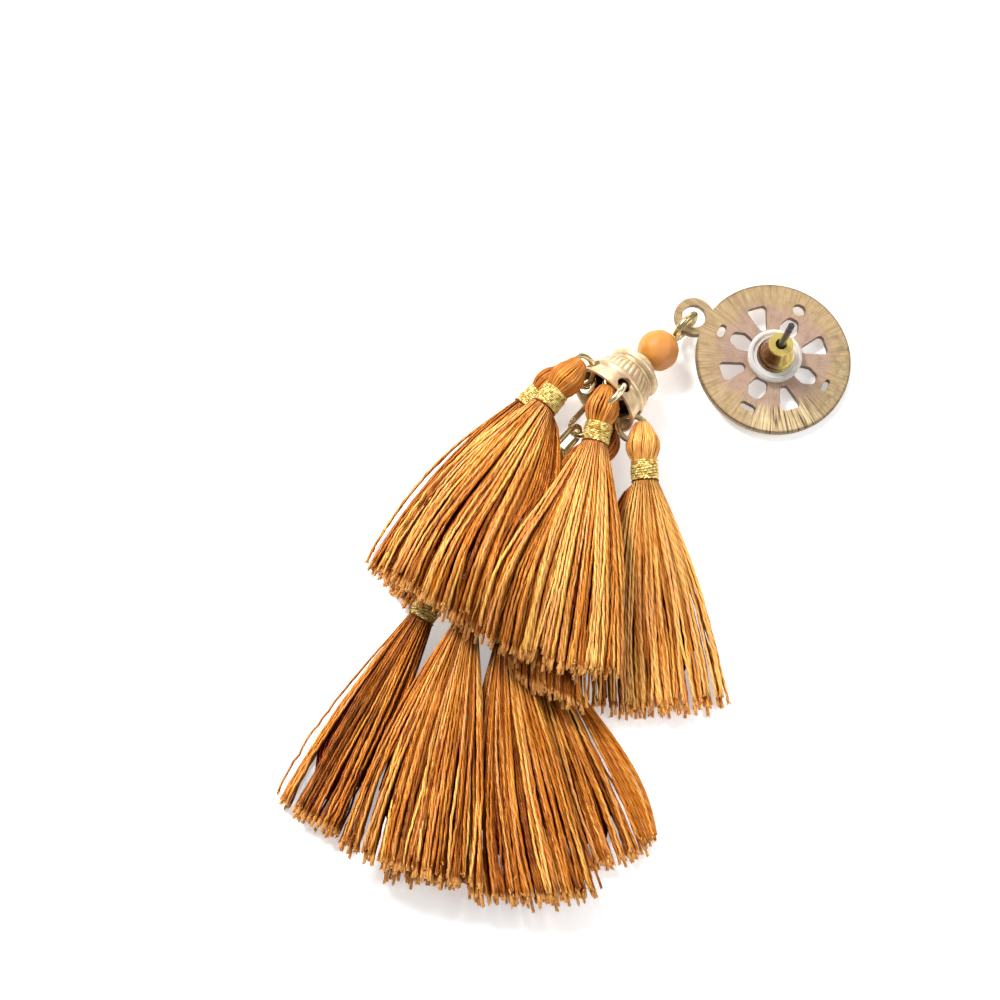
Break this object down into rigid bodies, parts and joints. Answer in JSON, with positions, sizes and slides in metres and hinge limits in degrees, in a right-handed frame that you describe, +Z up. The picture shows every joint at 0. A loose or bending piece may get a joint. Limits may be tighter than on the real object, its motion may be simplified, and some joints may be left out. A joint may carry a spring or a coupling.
{
  "type": "tassel earring",
  "caption": "Long earring with a pierced disc and ear post, a bead, two bell caps on a short chain and thread tassels hung from their rims, lying flat with the disc's back up.",
  "frame": {"origin": "on the surface that the earring lies on, under the middle of its bounding box", "axes": "+Z up from the surface; the upper bell cap's axis runs along -Y from the disc's end to the tassels' ends, so +Y is the earring's length towards the disc; +X to the right of it"},
  "size_m": [0.051, 0.0904, 0.015],
  "materials": {
    "disc_metal": "aged gold-plated, finely scratched",
    "clutch_metal": "polished",
    "clear_plastic": "clear, moulded",
    "bead_resin": "soft gloss, lightly faceted",
    "pin_wire": "polished",
    "cap_metal": "pale gold-plated, pressed flutes",
    "chain_metal": "polished",
    "ring_metal": "polished",
    "thread": "silky twisted thread, cut ends",
    "metallic_thread": "wound metallic thread"
  },
  "bodies": {
    "root": {"disc_stud": "disc_metal", "clutch_tube": "clutch_metal", "clutch_pad": "clear_plastic", "bead": "bead_resin", "eye_pin": "pin_wire", "upper_cap": "cap_metal", "lower_eye_pin": "pin_wire", "lower_cap": "cap_metal", "link_1": "chain_metal", "link_2": "chain_metal", "link_3": "chain_metal", "link_4": "chain_metal", "link_5": "chain_metal", "ring_1": "ring_metal", "ring_2": "ring_metal", "ring_3": "ring_metal", "ring_4": "ring_metal", "ring_5": "ring_metal", "ring_6": "ring_metal", "ring_7": "ring_metal", "ring_8": "ring_metal", "ring_9": "ring_metal", "ring_10": "ring_metal", "tassel_1": "thread", "tassel_2": "thread", "tassel_3": "thread", "tassel_4": "thread", "tassel_5": "thread", "tassel_6": "thread", "tassel_7": "thread", "tassel_8": "thread", "tassel_9": "thread", "tassel_10": "thread", "wrap_1": "metallic_thread", "wrap_2": "metallic_thread", "wrap_3": "metallic_thread", "wrap_4": "metallic_thread", "wrap_5": "metallic_thread", "wrap_6": "metallic_thread", "wrap_7": "metallic_thread", "wrap_8": "metallic_thread", "wrap_9": "metallic_thread", "wrap_10": "metallic_thread"}
  },
  "joints": []
}
